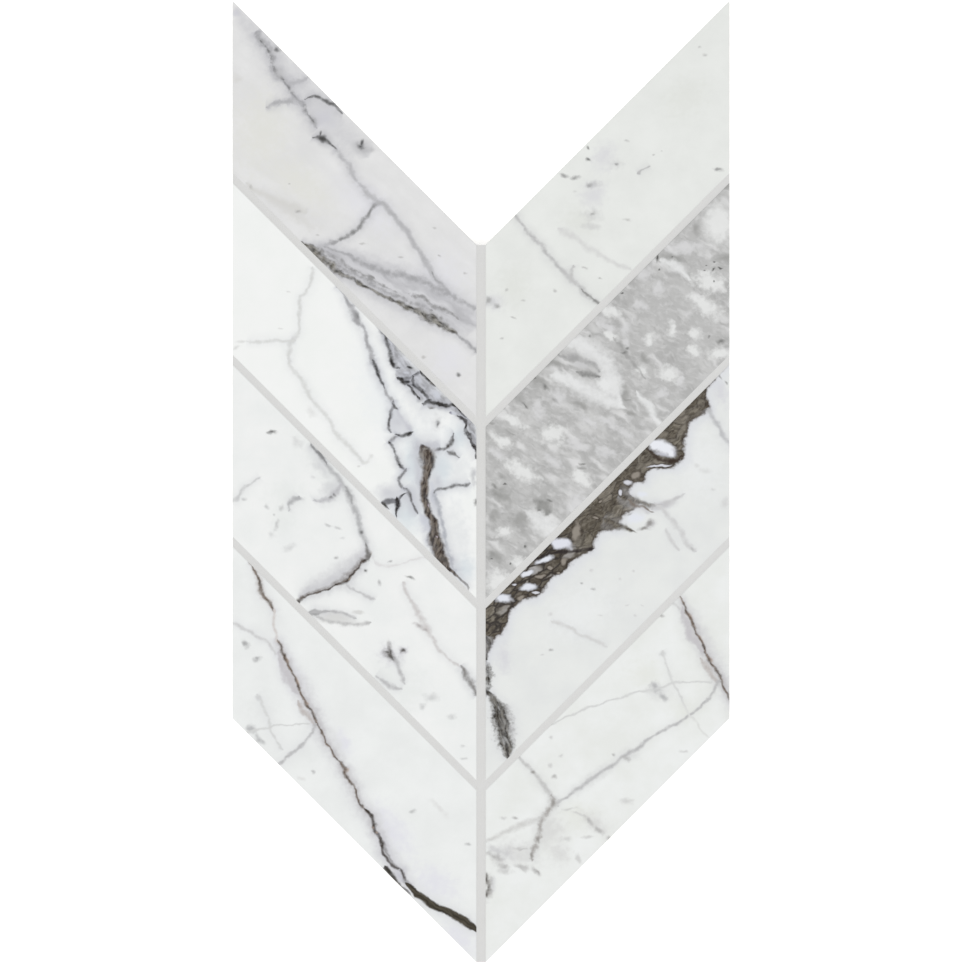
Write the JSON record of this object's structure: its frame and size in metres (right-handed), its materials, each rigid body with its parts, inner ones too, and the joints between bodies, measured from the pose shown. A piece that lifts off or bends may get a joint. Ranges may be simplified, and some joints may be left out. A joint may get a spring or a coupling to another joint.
{
  "type": "chevron wall tile",
  "caption": "Wall tile sheet of slanted marble-look porcelain tiles in a chevron, with filled joints, a V notch at one end, a point at the other and a mesh backing.",
  "frame": {"origin": "middle of the sheet's outline, on the underside of its mesh backing", "axes": "+Z out of the glazed face, +Y along the upright centre joint towards the V notch, +X across the sheet"},
  "size_m": [0.3048, 0.5896, 0.0094],
  "materials": {
    "glazed_marble": "satin",
    "filler": "matte",
    "glass_fibre_mesh": "matte"
  },
  "bodies": {
    "root": {"tile_left_1": "glazed_marble", "tile_left_2": "glazed_marble", "tile_left_3": "glazed_marble", "tile_left_4": "glazed_marble", "tile_right_1": "glazed_marble", "tile_right_2": "glazed_marble", "tile_right_3": "glazed_marble", "tile_right_4": "glazed_marble", "joint_filler": "filler", "backing_mesh": "glass_fibre_mesh"}
  },
  "joints": []
}
